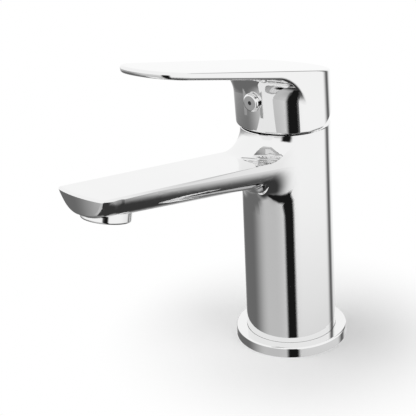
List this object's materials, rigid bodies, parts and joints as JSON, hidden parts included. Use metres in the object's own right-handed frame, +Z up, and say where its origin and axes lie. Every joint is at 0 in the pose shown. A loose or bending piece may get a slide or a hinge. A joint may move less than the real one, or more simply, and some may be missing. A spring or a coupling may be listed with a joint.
{
  "type": "basin mixer faucet",
  "caption": "Deck-mounted lever basin mixer: round body, straight rising spout with a tilted aerator, and a flat lever that lifts and swivels above a ceramic disc cartridge.",
  "frame": {"origin": "on the body's axis, in the plane where the base ring meets the deck", "axes": "+Z up along the body's axis, -Y towards the user along the spout and the lever, +X to the user's right"},
  "size_m": [0.054, 0.1476, 0.1503],
  "materials": {
    "chrome_plate": "polished chrome plate",
    "brass": "machined",
    "steel": "turned stainless steel",
    "rubber": "matte black",
    "ceramic": "lapped white ceramic",
    "cartridge_plastic": "moulded white",
    "stop_plastic": "moulded red",
    "aerator_plastic": "moulded grey",
    "mark": "dark enamel"
  },
  "bodies": {
    "base": {"base_ring": "chrome_plate", "base_gasket": "rubber", "body": "chrome_plate", "cartridge_base": "cartridge_plastic", "cartridge_housing": "cartridge_plastic", "port_seals": "rubber", "disc_seals": "rubber", "cartridge_o_ring": "rubber", "fixed_disc": "ceramic", "hot_limit_ring": "stop_plastic", "retaining_nut": "brass", "cover_cap": "chrome_plate", "aerator_housing": "chrome_plate", "aerator_washer": "rubber", "aerator_insert": "aerator_plastic", "aerator_screen": "aerator_plastic"},
    "rotor": {"cartridge_rotor": "cartridge_plastic", "pivot_pin": "steel"},
    "lever": {"lever_stem": "steel", "handle": "chrome_plate", "handle_set_screw": "steel", "index_button": "chrome_plate", "index_dot": "mark"},
    "slider": {"disc_slider": "cartridge_plastic", "moving_disc": "ceramic"}
  },
  "joints": [
    {"name": "handle_swivel", "type": "hinge", "parent": "base", "child": "rotor", "pos_m": [0, 0, 0.101], "axis": [0, 0, 1], "range_deg": [-50, 50]},
    {"name": "handle_lift", "type": "hinge", "parent": "rotor", "child": "lever", "pos_m": [0, 0, 0.101], "axis": [-1, 0, 0], "range_deg": [0, 25]},
    {"name": "disc_slide", "type": "slide", "parent": "rotor", "child": "slider", "axis": [0, -1, 0], "range_m": [0, 0.0045]}
  ],
  "couplings": [
    {"joint": "disc_slide", "follows": "handle_lift", "m_per_rad": 0.01026}
  ]
}
